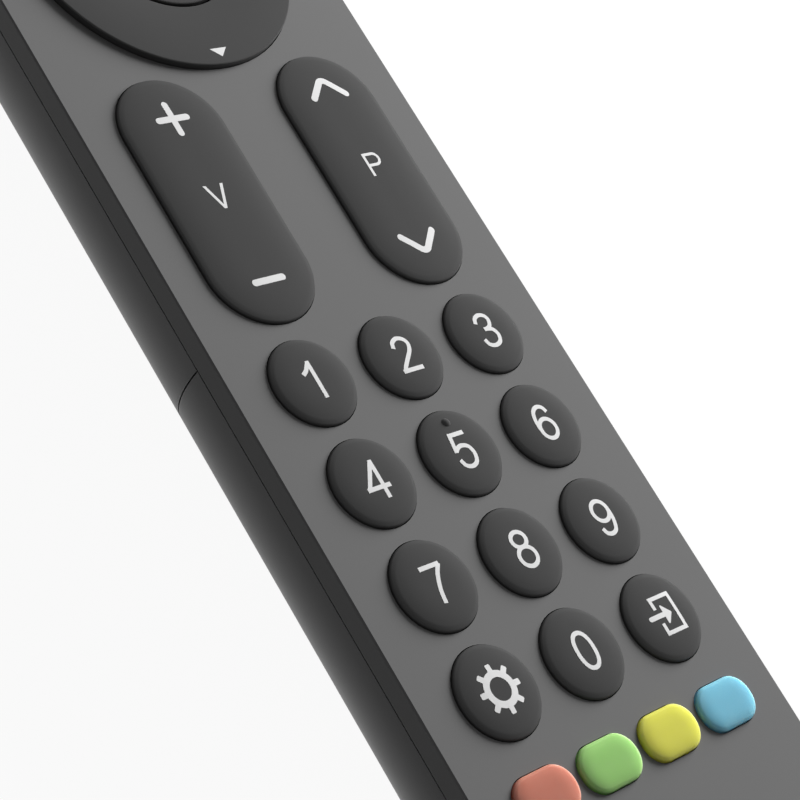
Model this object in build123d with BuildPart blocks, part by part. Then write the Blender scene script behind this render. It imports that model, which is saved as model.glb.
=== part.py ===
from build123d import *
from math import cos, pi, radians, sin, sqrt, tan
import os

# Universal remote control lying on its back: +Y runs to the front end, +Z rises out of the key face.
# The origin is under the middle of the case, on the table.

# Case
front_margin = 17.73  # from the power key's middle to the front end
rear_margin = 26.9  # from the colour keys' middle to the rear end
side_margin = 5.25  # from the outer number keys to the side
rim_height = 2.7  # straight side of the top housing, from the face down to the seam
corner_radius = 6.0  # corners of the outline
end_round = 9.0  # lower edge of each end, seen from the side
face_edge = 0.2  # broken edge round the key face
plate_thickness = 1.6
wall = 1.8
seam_gap = 0.2
seam_step = 0.05  # how far the lower shell stands inside the rim at the seam
overrun = 1.0  # how far a cut runs past the surface that it leaves through

# Battery cover
cover_length = 82.54
cover_wall = 1.6
grip_count = 5
grip_width = 10.0
grip_groove = 1.1
grip_pitch = 2.2
grip_depth = 0.5
grip_inset = 6.0
lip_height = 1.0
tongue_width = 3.0
tongue_thickness = 1.4
tongue_reach = 1.5
tongue_root = 4.0
slide_gap = 0.3

# Round keys
key_radius = 5.36
key_rise = 0.85  # crown above the face
key_gap = 0.12  # between a key and the edge of its opening
column_gap = 2.62  # between caps, across the case
row_gap = 1.98  # between caps, along the case
tab_reach_share = 0.65
tab_width = 4.0

# Colour keys
colour_radius = 4.33
colour_depth = 5.42
colour_corner = 2.6
colour_gap = 1.16  # from one to the next
colour_drop = 3.43  # from the last row of digits
colour_rise = 0.75

# Rockers
rocker_length = 32.7
rocker_width = 14.18
rocker_spacing = 23.57
rocker_gap = 2.15  # from the digits below
rocker_rise = 0.85
rocker_rim = 0.5
rocker_foot = 0.7
rocker_tilt = 2.0  # degrees each way
rocker_press_inset = 5.45  # from the end to the middle of the plunger
rocker_post = 8.0

# Navigation ring and its centre key
nav_width = 8.44
nav_gap = 0.31  # along the case, past the ends of the rockers
nav_rise = 0.8
nav_foot = 0.8
nav_tilt = 2.0  # degrees each way
nav_tab_gap = 0.75
nav_leg_inset = 1.85  # from the outer edge to the middle of a leg
ok_radius = 9.4
ok_gap = 0.4
ok_tab_gap = 0.55
ok_reach = 1.3
pivot_sides = 16
pivot_thickness = 0.7
pivot_level = 17.7
pivot_gap = 0.45
post_side = 1.6
post_gap = 0.1
upper_gap = 3.41

# Travel and the layers under the face
key_travel = 0.6
flange_gap = 0.25
flange_reach = 0.8
flange_thickness = 0.8
thin_tab = 0.6
press_gap = 0.15
mat_thickness = 0.9
board_thickness = 1.2
board_margin = 5.45  # from the side of the case
board_gap = 0.3
plunger_side = 3.0
well_gap = 0.6
contact_gap = 0.1

# Battery bay, two AAA cells side by side
cell_radius = 5.25
cell_length = 44.5
nub_radius = 1.9
nub_length = 0.8
cell_gap = 0.6
cell_clear = 0.4  # under the cells
bay_gap = 0.2
bay_low = 4.2
tray_thickness = 1.2
tray_wall = 1.0
part_room = 0.9  # between the board and the tray
strip_thickness = 0.4
strip_width = 8.0
terminal_low = 4.6
terminal_tab = 2.4
spring_length = 5.0
spring_base = 3.9
spring_tip = 2.4
spring_turns = 2.5
spring_bend = 0.7
wire_radius = 0.25
wire_sides = 5

# Seam lip, board ribs and window at the front end
lip_gap = 0.15
lip_thickness = 0.8
lip_base = 1.2
lip_clear = 0.2
rib_thickness = 1.2
rib_opening = 20.0
rib_sill = 1.2
rib_count = 3
window_width = 26.0
window_low = 9.6
window_flange = 1.0
window_gap = 0.1

# Parts on the board
board_inset = 8.0  # from the front end
led_radius = 2.5
led_length = 8.6
led_rim = 0.3
led_spacing = 9.0
led_lead = 0.5
led_lead_pitch = 2.54
led_step = 1.2
led_drop = 0.3
chip_width = 7.5
chip_length = 18.0
chip_height = 2.3
chip_standoff = 0.2
chip_leads = 8
chip_pitch = 1.9
lead_reach = 0.5
lead_width = 0.45
resonator_width = 7.0
resonator_depth = 3.0
resonator_height = 4.5
can_radius = 2.5
can_height = 7.0
part_spacing = 14.0

# Size of the case, worked out from what it holds
row_pitch = 2 * key_radius + row_gap
column_pitch = 2 * key_radius + column_gap
colour_pitch = 2 * colour_radius + colour_gap
nav_radius = ok_radius + ok_gap + nav_width
colour_step = key_radius + colour_drop + colour_depth / 2
case_length = (
    rear_margin
    + colour_step
    + 3 * row_pitch
    + key_radius
    + rocker_gap
    + rocker_length
    + nav_gap
    + 2 * nav_radius
    + upper_gap
    + key_radius
    + front_margin
)
case_width = 2 * (column_pitch + key_radius + side_margin)
board_width = case_width - 2 * board_margin
keypad_height = plate_thickness + flange_gap + flange_thickness + key_travel + press_gap + mat_thickness
bay_height = cover_wall + cell_clear + 2 * cell_radius + bay_gap + tray_thickness
face_level = keypad_height + board_thickness + part_room + bay_height

# Levels, worked out from the face downwards
seam_level = face_level - rim_height
shell_top = seam_level - seam_gap / 2
rim_under = seam_level + seam_gap / 2
plate_under = face_level - plate_thickness
flange_top = plate_under - flange_gap
flange_under = flange_top - flange_thickness
mat_top = flange_under - key_travel - press_gap
board_top = mat_top - mat_thickness
board_under = board_top - board_thickness
tray_top = board_under - part_room
tray_under = tray_top - tray_thickness
cell_level = tray_under - bay_gap - cell_radius
plunger_under = board_top + key_travel + contact_gap
nav_top = face_level + nav_rise
nav_under = face_level - nav_foot
nav_tab_under = plate_under - nav_tab_gap - thin_tab

# Places along and across the case
half_length = case_length / 2
half_width = case_width / 2
split = cover_length - half_length
shell_rear = split + seam_gap / 2
cover_front = split - seam_gap / 2
colour_row = rear_margin - half_length
digit_row = colour_row + colour_step + 3 * row_pitch
rocker_press = rocker_length / 2 - rocker_press_inset
rocker_row = digit_row + key_radius + rocker_gap + rocker_length / 2
nav_row = rocker_row + rocker_length / 2 + nav_gap + nav_radius
nav_press = nav_radius - nav_leg_inset
upper_row = nav_row + nav_radius + upper_gap + key_radius
tab_reach = tab_reach_share * (column_pitch / 2 - key_radius)
board_rear = colour_row - colour_depth / 2 - flange_reach - flange_thickness
board_front = half_length - board_inset
tray_half = board_width / 2 + board_gap + tray_wall
tray_rear = corner_radius - half_length
cell_offset = cell_radius + cell_gap / 2
bay_length = 2 * strip_thickness + spring_length + cell_length + 2 * contact_gap
bay_rear = shell_rear - bay_length
bay_half = cell_offset + cell_radius + bay_gap
rib_pitch = (half_length - wall - shell_rear - wall) / rib_count

number_names = [f"key_{i + 1}" for i in range(9)] + ["key_settings", "key_0", "key_input"]


# The number keys stand in rows of three, left to right
columns = [-column_pitch, 0, column_pitch]
round_keys = {name: (columns[i % 3], digit_row - i // 3 * row_pitch) for i, name in enumerate(number_names)}
round_keys["key_power"] = (0, upper_row)
colour_names = ["key_red", "key_green", "key_yellow", "key_blue"]
colour_keys = {name: ((i - 3 / 2) * colour_pitch, colour_row) for i, name in enumerate(colour_names)}
rockers = {
    "volume_rocker": (-rocker_spacing / 2, rocker_row),
    "programme_rocker": (rocker_spacing / 2, rocker_row),
}
rocker_presses = [(x, y + side * rocker_press) for x, y in rockers.values() for side in (-1, 1)]
key_presses = [*round_keys.values(), *colour_keys.values(), (0, nav_row)]

os.makedirs("parts", exist_ok=True)


def save(piece, name):
    """Labels a finished piece and writes its file."""
    piece.label = name
    export_step(piece, f"parts/{name}.step")


def case_form(inset, low, high, rear, front):
    """Form of the case drawn in by inset, between two levels and two places along the case."""
    flat_half = half_width - seam_step - seam_level
    side = half_width - seam_step - inset
    with BuildPart() as form:
        with BuildSketch(Plane.XZ):
            with BuildLine():
                Line((-flat_half, inset), (flat_half, inset))
                CenterArc((flat_half, seam_level), seam_level - inset, -90, 90)
                Polyline((side, seam_level), (side, face_level), (-side, face_level), (-side, seam_level))
                CenterArc((-flat_half, seam_level), seam_level - inset, 180, 90)
            make_face()
        extrude(amount=half_length, both=True)
        with BuildSketch(Plane.YZ.offset(-half_width)) as side_view:
            with Locations((0, inset)):
                Rectangle(2 * (half_length - inset), face_level, align=(Align.CENTER, Align.MIN))
            fillet(side_view.vertices().group_by(Axis.Y)[0], end_round - inset)
        extrude(amount=case_width, mode=Mode.INTERSECT)
        with BuildSketch(Plane.XY.offset(low)):
            RectangleRounded(2 * (half_width - inset), 2 * (half_length - inset), corner_radius - inset)
            with Locations((0, rear)):
                Rectangle(case_width, front - rear, align=(Align.CENTER, Align.MIN), mode=Mode.INTERSECT)
        extrude(amount=high - low, mode=Mode.INTERSECT)
    return form.part


def block(across, along, level, size, mode=Mode.ADD):
    """Plain block on a level, by its centre across and along the case, inside the part being built."""
    with BuildSketch(Plane.XY.offset(level)) as base:
        with Locations((across, along)):
            Rectangle(size[0], size[1])
    extrude(base.sketch, amount=size[2], mode=mode)


def colour_outline(grow):
    """Outline of a colour key: a circle cut flat at the front and back, its corners rounded."""
    with BuildSketch() as outline:
        Circle(colour_radius + grow)
        Rectangle(2 * (colour_radius + grow), colour_depth + 2 * grow, mode=Mode.INTERSECT)
        fillet(outline.vertices(), colour_corner + grow)
    return outline.sketch


# Top housing: the face plate with its rim and key openings
colour_opening = colour_outline(key_gap)
with BuildPart() as top_housing:
    with BuildSketch(Plane.XY.offset(rim_under)):
        RectangleRounded(case_width, case_length, corner_radius)
    extrude(amount=face_level - rim_under)
    chamfer(top_housing.faces().sort_by(Axis.Z)[-1].edges(), face_edge)
    with BuildSketch(Plane.XY.offset(rim_under)):
        RectangleRounded(case_width - 2 * wall, case_length - 2 * wall, corner_radius - wall)
    extrude(amount=plate_under - rim_under, mode=Mode.SUBTRACT)
    with BuildSketch(Plane.XY.offset(plate_under - overrun)):
        with Locations(*round_keys.values()):
            Circle(key_radius + key_gap)
        with Locations(*rockers.values()):
            SlotOverall(rocker_length + 2 * key_gap, rocker_width + 2 * key_gap, rotation=90)
        with Locations((0, nav_row)):
            Circle(nav_radius + key_gap)
        with Locations(*colour_keys.values()):
            add(colour_opening)
    extrude(amount=plate_thickness + 2 * overrun, mode=Mode.SUBTRACT)
save(top_housing.part, "top_housing")


def board_rib(place):
    """Cross rib under the board, open in the middle above a low sill."""
    slab = case_form(wall / 2, 0, board_under, place - rib_thickness / 2, place + rib_thickness / 2)
    with BuildPart() as rib:
        add(slab)
        block(0, place, wall + rib_sill, (rib_opening, 2 * rib_thickness, face_level), Mode.SUBTRACT)
    return rib.part


def seam_lip(outer, low, high):
    """U-shaped lip along the inside of the seam, from its outer inset to the shared inner one."""
    rear = shell_rear + wall
    outside = case_form(outer, low, high, rear, half_length)
    inside = case_form(wall + lip_gap + lip_thickness, low, high, rear, half_length)
    with BuildPart() as lip:
        add(outside)
        add(inside, mode=Mode.SUBTRACT)
    return lip.part


# Bottom housing: the curved front shell with its bulkhead, and the battery tray that runs under the cover
window_height = shell_top - window_low
shell_outside = case_form(0, 0, shell_top, shell_rear, half_length)
shell_inside = case_form(wall, 0, seam_level, shell_rear + wall, half_length)
ribs = [board_rib(shell_rear + wall + rib_pitch * (i + 1 / 2)) for i in range(rib_count)]
lips = [
    seam_lip(wall / 2, shell_top - lip_base, shell_top),
    seam_lip(wall + lip_gap, shell_top, plate_under - lip_clear),
]
partition = case_form(cover_wall + slide_gap, bay_low, tray_under, bay_rear - tray_wall, bay_rear)
with BuildPart() as bottom_housing:
    add(shell_outside)
    add(shell_inside, mode=Mode.SUBTRACT)
    for piece in ribs + lips:
        add(piece)
    # Opening for the window, stepped for its flange
    for width, inner, outer in (
        (window_width, half_length - wall - overrun, half_length + overrun),
        (window_width + 2 * window_flange, half_length - 3 * wall, half_length - wall),
    ):
        low = window_low if width == window_width else window_low - window_flange
        size = (width + 2 * window_gap, outer - inner, face_level)
        block(0, (inner + outer) / 2, low - window_gap, size, Mode.SUBTRACT)
    # The board passes over the bulkhead
    size = (2 * (tray_half - tray_wall), wall + 2 * overrun, plate_under - board_under)
    block(0, shell_rear + wall / 2, board_under, size, Mode.SUBTRACT)
    # Tray: floor, side walls with rails outside, and rear wall
    tray_length = shell_rear - tray_rear
    tray_middle = tray_rear + tray_length / 2
    block(0, tray_middle, tray_under, (2 * tray_half, tray_length, tray_thickness))
    for side in (-1, 1):
        middle = side * (tray_half - tray_wall / 2)
        block(middle, tray_middle, tray_top, (tray_wall, tray_length, board_top - tray_top))
        rail = side * (tray_half + tray_wall / 2)
        block(rail, tray_middle, tray_under + slide_gap, (tray_wall, tray_length, lip_height))
    block(0, tray_rear + tray_wall / 2, tray_top, (2 * tray_half, tray_wall, board_top - tray_top))
    # Battery bay: side walls and rear partition
    for side in (-1, 1):
        middle = side * (bay_half + tray_wall / 2)
        size = (tray_wall, bay_length + tray_wall, tray_under - bay_low)
        block(middle, shell_rear - size[1] / 2, bay_low, size)
    add(partition)
    # Slots for the terminal tabs, and the slot that takes the cover's tongue
    for side in (-1, 1):
        size = (terminal_tab + 2 * slide_gap, 2 * (strip_thickness + slide_gap), tray_thickness + 2 * overrun)
        block(side * cell_offset, shell_rear - size[1] / 2, tray_under - overrun, size, Mode.SUBTRACT)
    size = (tongue_width + 2 * slide_gap, 2 * wall, tongue_thickness + 2 * slide_gap)
    block(0, shell_rear + wall / 2, wall, size, Mode.SUBTRACT)
save(bottom_housing.part, "bottom_housing")

# Battery cover: wraps round the lower end and slides off it
cover_outside = case_form(0, 0, shell_top, -half_length, cover_front)
cover_inside = case_form(cover_wall, 0, seam_level, -half_length, cover_front + overrun)
with BuildPart() as battery_cover:
    add(cover_outside)
    add(cover_inside, mode=Mode.SUBTRACT)
    lip_level = tray_under + slide_gap + lip_height + slide_gap
    lip_inner = tray_half + slide_gap
    lip_width = half_width - cover_wall / 2 - lip_inner
    lip_length = cover_front - tray_rear - overrun
    for side in (-1, 1):
        middle = side * (lip_inner + lip_width / 2)
        block(middle, tray_rear + lip_length / 2, lip_level, (lip_width, lip_length, lip_height))
    tongue_length = tongue_root + tongue_reach + seam_gap
    tongue_middle = cover_front - tongue_root + tongue_length / 2
    block(0, tongue_middle, wall + slide_gap, (tongue_width, tongue_length, tongue_thickness))
    block(0, cover_front - tongue_root / 2, cover_wall / 2, (tongue_width, tongue_root, wall))
    for i in range(grip_count):
        groove = cover_front - grip_inset - i * grip_pitch
        block(0, groove, -overrun, (grip_width, grip_groove, grip_depth + overrun), Mode.SUBTRACT)
save(battery_cover.part, "battery_cover")

# Window at the front end, a plate with a flange behind the wall
with BuildPart() as ir_window:
    block(0, half_length - wall / 2, window_low, (window_width, wall, window_height - window_gap))
    size = (window_width + 2 * window_flange, wall, window_height + window_flange - window_gap)
    block(0, half_length - wall - wall / 2, window_low - window_flange, size)
save(ir_window.part, "ir_window")


# Round keys: cap, two tabs that hold it under the face plate, and a plunger over its contact
for name, (across, along) in round_keys.items():
    with BuildPart() as key:
        with BuildSketch(Plane.XY.offset(flange_under)):
            with Locations((across, along)):
                Circle(key_radius)
        extrude(amount=face_level + key_rise - flange_under)
        block(across, along, flange_under, (2 * (key_radius + tab_reach), tab_width, flange_thickness))
        block(across, along, plunger_under, (plunger_side, plunger_side, flange_under - plunger_under))
    save(key.part, name)

# Colour keys: caps with flat ends, tabs at the front and back, and a plunger
colour_cap = colour_outline(0)
for name, (across, along) in colour_keys.items():
    with BuildPart() as key:
        with BuildSketch(Plane.XY.offset(flange_under)):
            with Locations((across, along)):
                add(colour_cap)
        extrude(amount=face_level + colour_rise - flange_under)
        size = (tab_width, colour_depth + 2 * flange_reach, flange_thickness)
        block(across, along, flange_under, size)
        block(across, along, plunger_under, (plunger_side, plunger_side, flange_under - plunger_under))
    save(key.part, name)

# Rockers: long caps that tip about their middle and press a contact at either end
rocker_under = face_level - rocker_foot
rocker_drop = (rocker_press + plunger_side / 2) * sin(radians(rocker_tilt))
rocker_plunger = board_top + rocker_drop + contact_gap
for name, (across, along) in rockers.items():
    with BuildPart() as rocker:
        with BuildSketch(Plane.XY.offset(rocker_under)):
            with Locations((across, along)):
                SlotOverall(rocker_length, rocker_width, rotation=90)
        extrude(amount=face_level + rocker_rise - rocker_under)
        chamfer(rocker.faces().sort_by(Axis.Z)[-1].edges(), rocker_rim)
        block(across, along, flange_under, (rocker_post, rocker_post, rocker_under - flange_under))
        size = (rocker_width + 2 * flange_reach, rocker_post, thin_tab)
        block(across, along, flange_top - thin_tab, size)
        for side in (-1, 1):
            size = (plunger_side, plunger_side, rocker_under - rocker_plunger)
            block(across, along + side * rocker_press, rocker_plunger, size)
    save(rocker.part, name)

# Navigation ring: a flat ring on four legs, each with a tab under the face plate
nav_bore = ok_radius + ok_gap
nav_drop = (nav_press + plunger_side / 2) * sin(radians(nav_tilt))
nav_plunger = board_top + nav_drop + contact_gap
nav_reach = nav_radius + flange_reach
nav_leg_inner = nav_press - plunger_side / 2
nav_tab_middle = (nav_leg_inner + nav_reach) / 2
with BuildPart() as nav_ring:
    with BuildSketch(Plane.XY.offset(nav_under)):
        with Locations((0, nav_row)):
            Circle(nav_radius)
            Circle(nav_bore, mode=Mode.SUBTRACT)
    extrude(amount=nav_top - nav_under)
    for x, y in ((0, 1), (0, -1), (1, 0), (-1, 0)):
        leg = (plunger_side, plunger_side, nav_under - nav_plunger)
        block(x * nav_press, nav_row + y * nav_press, nav_plunger, leg)
        radial = nav_reach - nav_leg_inner
        tab = (radial if x else plunger_side, radial if y else plunger_side, thin_tab)
        block(x * nav_tab_middle, nav_row + y * nav_tab_middle, nav_tab_under, tab)
save(nav_ring.part, "nav_ring")

# Pivot frame under the ring: the ring tips sideways on it, and it tips up and down on the mat
pivot_outer = nav_leg_inner - pivot_gap
pivot_inner = ok_radius + ok_reach + pivot_gap
pivot_middle = (pivot_inner + pivot_outer) / 2
with BuildPart() as nav_pivot:
    with BuildSketch(Plane.XY.offset(pivot_level)):
        with Locations((0, nav_row)):
            RegularPolygon(pivot_outer, pivot_sides)
            RegularPolygon(pivot_inner, pivot_sides, major_radius=False, mode=Mode.SUBTRACT)
    extrude(amount=pivot_thickness)
    pivot_top = pivot_level + pivot_thickness
    for side in (-1, 1):
        post = (post_side, post_side, nav_under - post_gap - pivot_top)
        block(0, nav_row + side * pivot_middle, pivot_top, post)
save(nav_pivot.part, "nav_pivot")

# Centre key inside the ring, with two tabs under it
ok_tab_top = nav_under - ok_tab_gap
with BuildPart() as ok_button:
    with BuildSketch(Plane.XY.offset(flange_under)):
        with Locations((0, nav_row)):
            Circle(ok_radius)
    extrude(amount=nav_top - flange_under)
    block(0, nav_row, ok_tab_top - thin_tab, (2 * (ok_radius + ok_reach), tab_width, thin_tab))
    block(0, nav_row, plunger_under, (plunger_side, plunger_side, flange_under - plunger_under))
save(ok_button.part, "ok_button")

# Rubber mat: a sheet with a well under every plunger, and ribs and posts that rockers and ring tip on
mat_length = board_front - board_rear
mat_middle = (board_front + board_rear) / 2
well_side = plunger_side + 2 * well_gap
with BuildPart() as keypad_mat:
    block(0, mat_middle, board_top, (board_width, mat_length, mat_thickness))
    deep = mat_thickness + 2 * overrun
    for across, along in key_presses + rocker_presses:
        block(across, along, board_top - overrun, (well_side, well_side, deep), Mode.SUBTRACT)
    for x, y in ((0, 1), (0, -1), (1, 0), (-1, 0)):
        radial = nav_reach - nav_leg_inner + 2 * well_gap
        well = (radial if x else well_side, radial if y else well_side, deep)
        block(x * nav_tab_middle, nav_row + y * nav_tab_middle, board_top - overrun, well, Mode.SUBTRACT)
    for across, along in rockers.values():
        block(across, along, mat_top, (rocker_post, post_side, flange_under - post_gap - mat_top))
    for side in (-1, 1):
        post = (post_side, post_side, pivot_level - post_gap - mat_top)
        block(side * pivot_middle, nav_row, mat_top, post)
save(keypad_mat.part, "keypad_mat")

# Circuit board
with BuildPart() as circuit_board:
    block(0, mat_middle, board_under, (board_width, mat_length, board_thickness))
save(circuit_board.part, "circuit_board")

# Controller chip under the board, with its rows of leads
chip_row = shell_rear + wall + rib_pitch
chip_top = board_under - chip_standoff
with BuildPart() as controller_chip:
    block(0, chip_row, chip_top - chip_height, (chip_width, chip_length, chip_height))
    for side in (-1, 1):
        for i in range(chip_leads):
            place = chip_row + (i - (chip_leads - 1) / 2) * chip_pitch
            rise = board_under - chip_top + chip_height / 2
            lead = (lead_reach, lead_width, rise)
            block(side * (chip_width + lead_reach) / 2, place, board_under - rise, lead)
save(controller_chip.part, "controller_chip")

# Ceramic resonator and supply capacitor, in front of the chip
part_row = chip_row + chip_length / 2 + part_spacing
with BuildPart() as resonator:
    size = (resonator_width, resonator_depth, resonator_height)
    block(-cell_offset, part_row, board_under - resonator_height, size)
    chamfer(resonator.edges().filter_by(Axis.Z), resonator_depth / 4)
save(resonator.part, "resonator")
with BuildPart() as capacitor:
    with BuildSketch(Plane.XY.offset(board_under - can_height)):
        with Locations((cell_offset, part_row)):
            Circle(can_radius)
    extrude(amount=can_height)
save(capacitor.part, "capacitor")

# Infrared emitters behind the window, their leads bent up to the board
led_level = board_under - led_radius - led_drop
led_front = half_length - 2 * wall - led_drop
led_rear = led_front - led_length
for name, side in (("ir_emitter_left", -1), ("ir_emitter_right", 1)):
    across = side * led_spacing / 2
    with BuildPart() as emitter:
        with BuildSketch(Plane((across, led_rear, led_level), z_dir=(0, 1, 0))):
            Circle(led_radius)
        extrude(amount=led_length)
        chamfer(emitter.faces().sort_by(Axis.Y)[-1].edges(), led_rim)
        for lead in (-1, 1):
            place = across + lead * led_lead_pitch / 2
            block(place, led_rear - led_step / 2, led_level - led_lead / 2, (led_lead, led_step, led_lead))
            rise = board_under - led_level + led_lead / 2
            foot = led_rear - led_step + led_lead / 2
            block(place, foot, led_level - led_lead / 2, (led_lead, led_lead, rise))
    save(emitter.part, name)

# Cells: the left one points forwards, the right one backwards
front_stop = shell_rear - strip_thickness - contact_gap
for name, side, end, way in (
    ("battery_left", -1, front_stop, -1),
    ("battery_right", 1, front_stop - spring_length - cell_length, 1),
):
    across = side * cell_offset
    with BuildPart() as battery:
        with BuildSketch(Plane((across, end, cell_level), x_dir=(0, way, 0), z_dir=(0, 0, 1))):
            with BuildLine():
                Polyline(
                    (0, 0),
                    (0, nub_radius),
                    (nub_length, nub_radius),
                    (nub_length, cell_radius),
                    (cell_length, cell_radius),
                    (cell_length, 0),
                    close=True,
                )
            make_face()
        revolve(axis=Axis((across, end, cell_level), (0, 1, 0)))
    save(battery.part, name)

# Terminals: two plates on the bulkhead with tabs up to the board, and a bridge on the rear partition
plate_height = tray_under - contact_gap - terminal_low
for name, side in (("positive_terminal", -1), ("negative_terminal", 1)):
    with BuildPart() as terminal:
        place = shell_rear - strip_thickness / 2
        block(side * cell_offset, place, terminal_low, (strip_width, strip_thickness, plate_height))
        tab = (terminal_tab, strip_thickness, board_under - terminal_low)
        block(side * cell_offset, place, terminal_low, tab)
    save(terminal.part, name)
with BuildPart() as battery_bridge:
    size = (2 * cell_offset + strip_width, strip_thickness, plate_height)
    block(0, bay_rear + strip_thickness / 2, terminal_low, size)
save(battery_bridge.part, "battery_bridge")


def coil_line(frame):
    """Centre line of a tapered coil along the frame's Z, its quarter turns made of two arcs each."""
    axial = Vector(0, 0, 1)
    whole = 2 * pi * spring_turns
    bend = wire_radius + spring_bend

    def point_and_way(angle, rise, foot):
        share = angle / whole
        radius = spring_base + (spring_tip - spring_base) * share
        narrowing = (spring_tip - spring_base) / whole
        point = Vector(radius * cos(angle), radius * sin(angle), foot + rise * share)
        way = Vector(
            narrowing * cos(angle) - radius * sin(angle),
            narrowing * sin(angle) + radius * cos(angle),
            rise / whole,
        )
        return point, way.normalized()

    def bend_reach(way):
        return bend * tan(radians(axial.get_angle(way)) / 2)

    # Each end takes one wire width straight and one bend, and the turns share the rest of the length
    foot = 2 * wire_radius + bend
    rise = spring_length - 2 * foot
    count = round(4 * spring_turns)
    marks = [point_and_way(whole * i / count, rise, foot) for i in range(count + 1)]
    (first, first_way), (last, last_way) = marks[0], marks[-1]
    start = first - (axial + first_way) * bend_reach(first_way)
    finish = last + (axial + last_way) * bend_reach(last_way)
    lower = Vector(start.X, start.Y, 0)
    upper = Vector(finish.X, finish.Y, spring_length)
    knots = [(start, first, axial)]
    for (p, a), (q, b) in zip(marks, marks[1:]):
        chord = q - p
        closing = 2 * (1 - a.dot(b))
        reach = (sqrt(chord.dot(a + b) ** 2 + closing * chord.dot(chord)) - chord.dot(a + b)) / closing
        middle = (p + q + (a - b) * reach) * (1 / 2)
        knots += [(p, middle, a), (middle, q, None)]
    knots.append((last, finish, last_way))

    def place(vector):
        return frame.from_local_coords(vector)

    with BuildLine() as line:
        edge = Line(place(lower), place(start))
        for p, q, way in knots:
            edge = TangentArc(place(p), place(q), tangent=edge % 1)
        Line(place(finish), place(upper))
    return line


def least_gap(line, samples):
    """Least distance between stretches of wire more than half a turn apart, less the wire itself."""
    wire = Wire(line.edges())
    apart = pi * spring_tip * samples / wire.length
    dots = [wire.position_at(i / samples) for i in range(samples + 1)]
    spans = [(dots[j] - dots[i]).length for i in range(len(dots)) for j in range(len(dots)) if j - i > apart]
    return min(spans) - 2 * wire_radius


# Coil springs that press the cells towards their plates
spring_samples = 240
for name, side, end, way in (
    ("battery_spring_front", 1, shell_rear - strip_thickness, -1),
    ("battery_spring_rear", -1, bay_rear + strip_thickness, 1),
):
    frame = Plane((side * cell_offset, end, cell_level), x_dir=(1, 0, 0), z_dir=(0, way, 0))
    with BuildPart() as spring:
        coil = coil_line(frame)
        with BuildSketch(Plane(coil.line @ 0, z_dir=coil.line % 0)):
            RegularPolygon(wire_radius, wire_sides)
        sweep(path=coil.line)
    print(name, "least gap", round(least_gap(coil, spring_samples), 3))
    save(spring.part, name)
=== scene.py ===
import math

import bmesh
import bpy
from mathutils import Matrix, Vector
from mathutils.geometry import delaunay_2d_cdt


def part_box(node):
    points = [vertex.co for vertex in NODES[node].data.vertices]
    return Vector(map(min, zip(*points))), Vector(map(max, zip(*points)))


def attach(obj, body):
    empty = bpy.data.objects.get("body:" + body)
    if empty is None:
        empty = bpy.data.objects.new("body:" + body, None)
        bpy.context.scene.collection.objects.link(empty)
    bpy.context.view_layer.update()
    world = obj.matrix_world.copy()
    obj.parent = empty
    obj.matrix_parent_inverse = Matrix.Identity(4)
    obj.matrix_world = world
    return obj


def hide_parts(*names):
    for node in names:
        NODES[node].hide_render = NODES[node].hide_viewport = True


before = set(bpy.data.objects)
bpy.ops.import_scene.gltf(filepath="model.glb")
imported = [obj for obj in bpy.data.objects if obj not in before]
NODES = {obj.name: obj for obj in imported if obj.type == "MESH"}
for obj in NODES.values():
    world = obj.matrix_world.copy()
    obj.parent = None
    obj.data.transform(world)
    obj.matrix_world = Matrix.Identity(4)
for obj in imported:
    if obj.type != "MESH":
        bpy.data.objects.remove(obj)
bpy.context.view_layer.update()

# The remote lies on its back: +Y runs to the front end, +Z rises out of the key face. Lengths are in metres.
MM = 0.001

# Camera, solved from the photograph's key centres and case edges
CAMERA_PLACE = Vector((-165.338, -79.633, 185.851)) * MM
CAMERA_VIEW = Vector((0.675697, 0.256424, -0.691144))
CAMERA_RIGHT = Vector((0.704372, -0.501161, 0.502691))
CAMERA_LENS = 99.377
CAMERA_SENSOR = 36.0

# Levels and sizes shared with the CAD model
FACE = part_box("top_housing")[1].z
FLANGE = 17.65 * MM  # underside of the tabs that hold the keys
TAB = 0.8 * MM  # thickness and reach of a key's tab
THIN_TAB = 0.6 * MM  # thickness of a tab under a rocker, the ring or the centre key
TAB_WIDTH = 4.0 * MM
PLUNGER = 3.0 * MM
ROCKER_FOOT = 0.7 * MM
ROCKER_PRESS = 5.45 * MM  # from a rocker's end to its plunger
RING_FOOT = 0.8 * MM
RING_PRESS = 1.85 * MM  # from the ring's outer edge to a leg
RING_TAB = 17.35 * MM  # underside of the ring's tabs
CENTRE_TAB = 18.35 * MM  # underside of the centre key's tabs
CENTRE_GAP = 0.4 * MM
COLOUR_CORNER = 2.6 * MM  # corner radius of a coloured key, seen from above

# Tops of the keys: the radius of the edge, the height of the crown inside it and how far the crown reaches in
KEY_TOP = (0.3 * MM, 0.45 * MM, 5.0 * MM)
COLOUR_TOP = (0.25 * MM, 0.3 * MM, 2.5 * MM)
ROCKER_TOP = (0.3 * MM, 0.42 * MM, 6.9 * MM)
RING_TOP = (0.2 * MM, 0.0, 0.2 * MM)
ARC_STEPS = 8  # facets of a rounded edge
CROWN_STEPS = 12
CROWN_SPACING = 1.3  # over 1 draws the crown's rings closer together at its edge
ROUND_STEPS = 96  # facets round a turned piece
CORNER_STEPS = 12  # facets of each arc round a coloured key
SHARP_EDGE = math.radians(30)
MERGE_DISTANCE = 1e-8

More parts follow.
